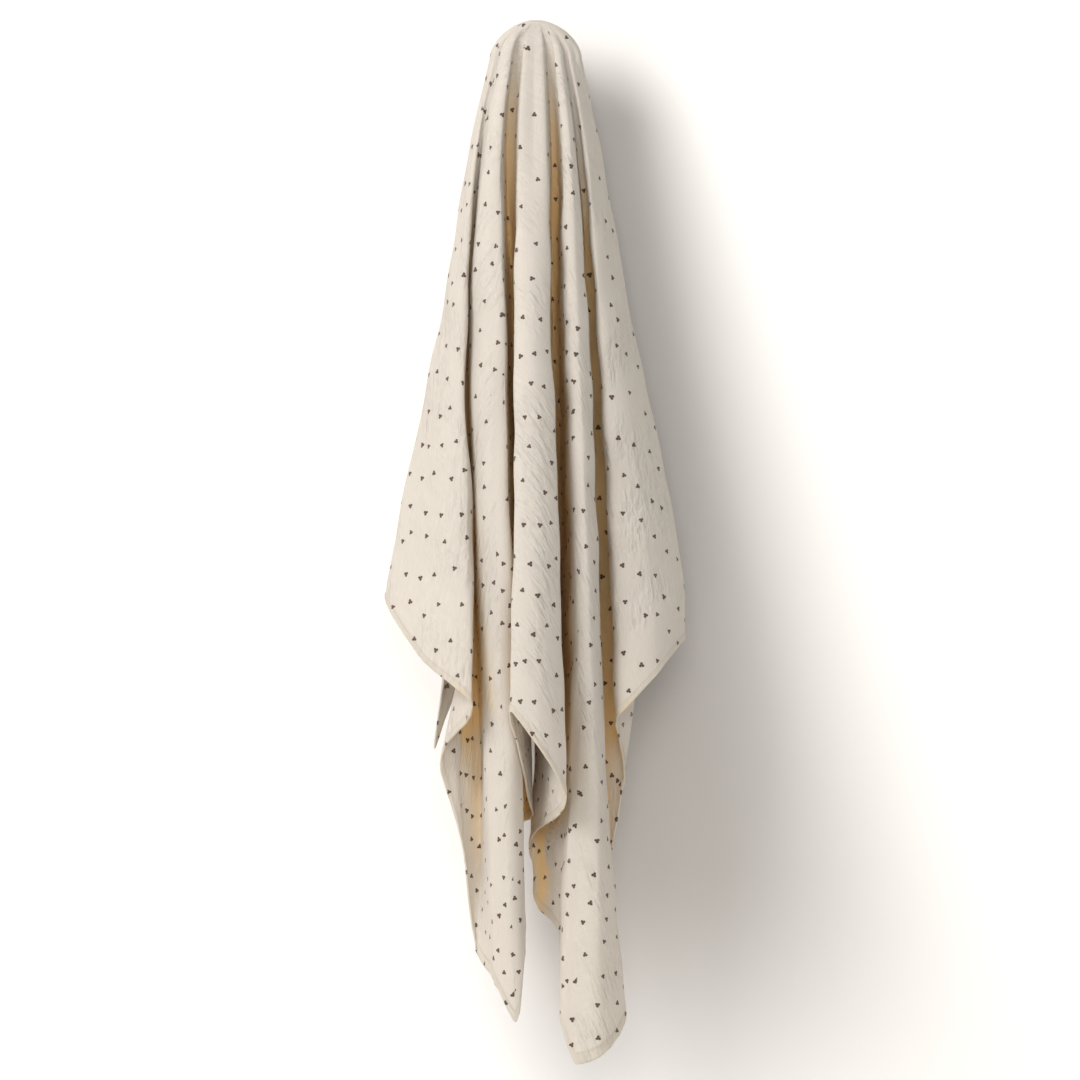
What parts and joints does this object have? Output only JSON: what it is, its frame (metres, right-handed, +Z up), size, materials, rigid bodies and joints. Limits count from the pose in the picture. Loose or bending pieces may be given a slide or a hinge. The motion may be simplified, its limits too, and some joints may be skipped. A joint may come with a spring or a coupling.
{
  "type": "swaddle blanket on wall peg",
  "caption": "Square muslin swaddle blanket hanging in long uneven folds from a round turned wooden wall peg.",
  "frame": {"origin": "middle of the peg's flat foot, where it is screwed to the wall", "axes": "+Z up, +X to the right seen from the room, +Y into the wall; the peg's axis and the cloth lie at negative Y"},
  "size_m": [0.2722, 0.2121, 0.9407],
  "materials": {
    "muslin": "soft matt double-layer cotton muslin, cream with a small scattered brown sprig print",
    "peg_wood": "turned beech, oiled, satin"
  },
  "bodies": {
    "root": {"blanket": "muslin", "peg": "peg_wood"}
  },
  "joints": []
}
